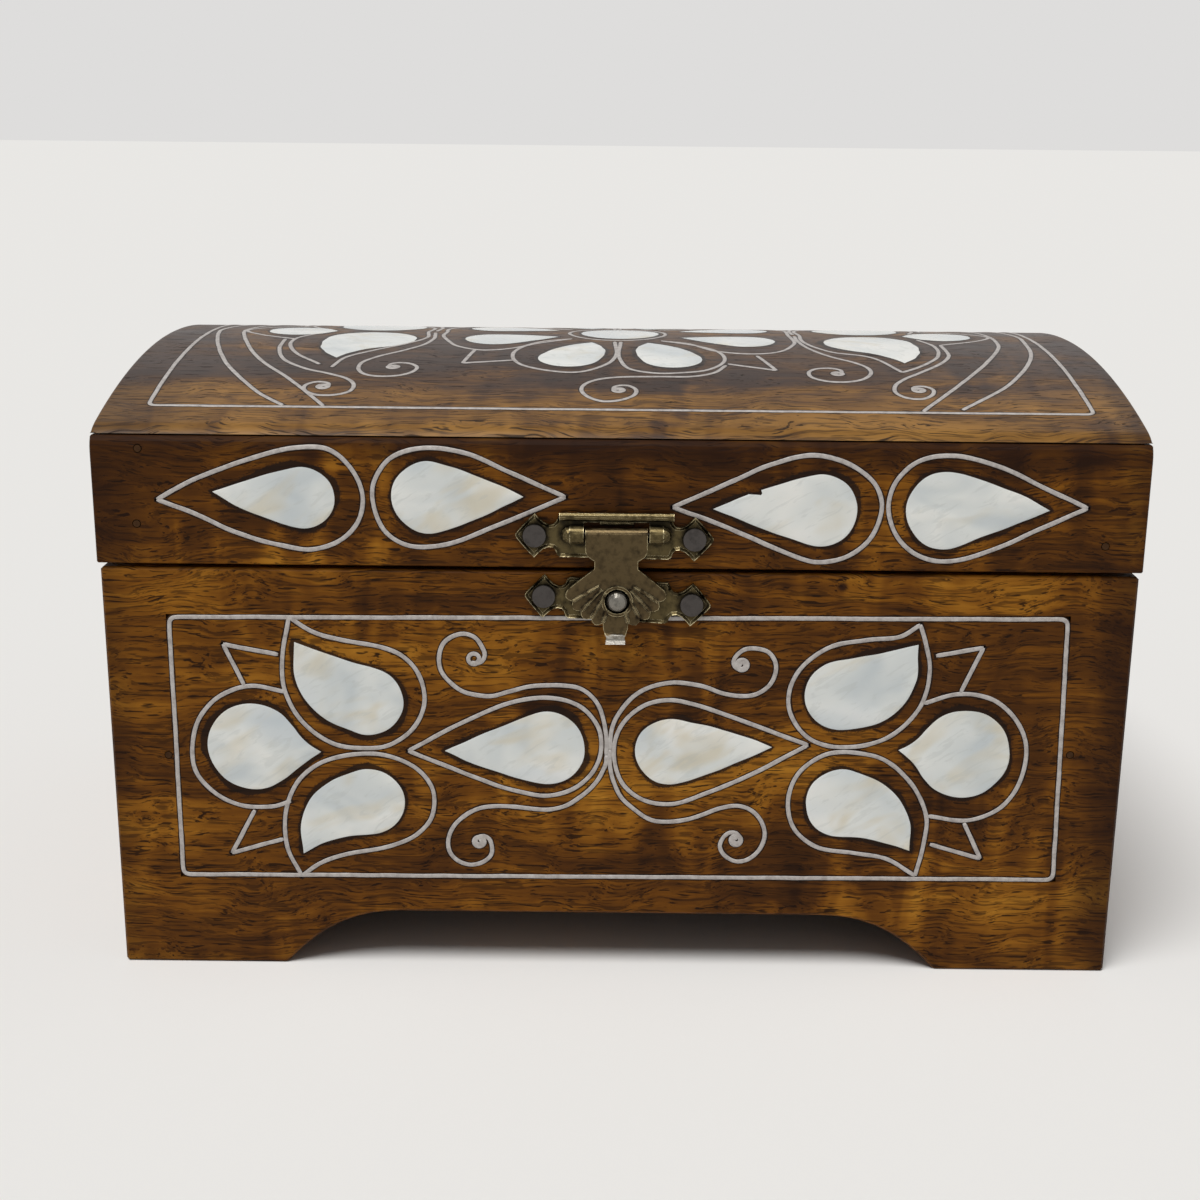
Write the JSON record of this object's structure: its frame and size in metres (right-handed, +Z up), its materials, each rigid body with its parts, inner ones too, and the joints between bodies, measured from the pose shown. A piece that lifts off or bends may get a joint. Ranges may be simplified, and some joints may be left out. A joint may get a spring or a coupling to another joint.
{
  "type": "trinket box",
  "caption": "Small wooden box on bracket feet with a hinged domed lid, inlaid pearl petals and wire scrolls on the front and lid, and a brass hasp whose flap drops over a stud.",
  "frame": {"origin": "on the floor plane that the feet rest on, under the middle of the box's overall width and depth", "axes": "+X along the box to the right as seen from the front, +Y from the hasp at the front to the hinges at the back, +Z up"},
  "size_m": [0.1604, 0.1147, 0.0968],
  "materials": {
    "walnut": "satin",
    "mother_of_pearl": "gloss",
    "inlay_wire": "satin",
    "antique_brass": "satin",
    "dark_nail": "satin",
    "stud_metal": "satin"
  },
  "bodies": {
    "carcass": {"front_board": "walnut", "back_board": "walnut", "left_end_board": "walnut", "right_end_board": "walnut", "bottom_panel": "walnut", "front_border_wire": "inlay_wire", "front_nail_1": "dark_nail", "front_nail_2": "dark_nail", "hasp_lower_plate": "antique_brass", "hasp_stud": "stud_metal", "lower_plate_nail_left": "dark_nail", "lower_plate_nail_right": "dark_nail", "hinge_lower_leaf_left": "antique_brass", "hinge_lower_leaf_right": "antique_brass", "hinge_pin_left": "antique_brass", "hinge_pin_right": "antique_brass", "pearl_front_drop_left": "mother_of_pearl", "pearl_front_leaf_lower_left": "mother_of_pearl", "pearl_front_leaf_upper_left": "mother_of_pearl", "pearl_front_round_petal_left": "mother_of_pearl", "pearl_front_drop_right": "mother_of_pearl", "pearl_front_leaf_lower_right": "mother_of_pearl", "pearl_front_leaf_upper_right": "mother_of_pearl", "pearl_front_round_petal_right": "mother_of_pearl"},
    "lid": {"lid_front_board": "walnut", "lid_back_board": "walnut", "lid_left_end_board": "walnut", "lid_right_end_board": "walnut", "lid_top_board": "walnut", "top_border_wire": "inlay_wire", "lid_nail_1": "dark_nail", "lid_nail_2": "dark_nail", "lid_nail_3": "dark_nail", "hasp_upper_plate": "antique_brass", "hasp_pin": "stud_metal", "upper_plate_nail_left": "dark_nail", "upper_plate_nail_right": "dark_nail", "hinge_upper_leaf_left": "antique_brass", "hinge_upper_leaf_right": "antique_brass", "pearl_lid_drop_1": "mother_of_pearl", "pearl_lid_drop_2": "mother_of_pearl", "pearl_lid_drop_3": "mother_of_pearl", "pearl_lid_drop_4": "mother_of_pearl", "pearl_top_disc": "mother_of_pearl", "pearl_top_end_petal_left": "mother_of_pearl", "pearl_top_inner_petal_back_left": "mother_of_pearl", "pearl_top_inner_petal_front_left": "mother_of_pearl", "pearl_top_outer_petal_back_left": "mother_of_pearl", "pearl_top_outer_petal_front_left": "mother_of_pearl", "pearl_top_scroll_leaf_back_left": "mother_of_pearl", "pearl_top_scroll_leaf_front_left": "mother_of_pearl", "pearl_top_end_petal_right": "mother_of_pearl", "pearl_top_inner_petal_back_right": "mother_of_pearl", "pearl_top_inner_petal_front_right": "mother_of_pearl", "pearl_top_outer_petal_back_right": "mother_of_pearl", "pearl_top_outer_petal_front_right": "mother_of_pearl", "pearl_top_scroll_leaf_back_right": "mother_of_pearl", "pearl_top_scroll_leaf_front_right": "mother_of_pearl"},
    "hasp_flap": {"hasp_flap": "antique_brass"}
  },
  "joints": [
    {"name": "lid_hinge", "type": "hinge", "parent": "carcass", "child": "lid", "pos_m": [0, 0.05567, 0.06675], "axis": [-1, 0, 0], "range_deg": [0, 103]},
    {"name": "flap_hinge", "type": "hinge", "parent": "lid", "child": "hasp_flap", "pos_m": [-0.0005, -0.05597, 0.0726], "axis": [-1, 0, 0], "range_deg": [0, 130]}
  ]
}
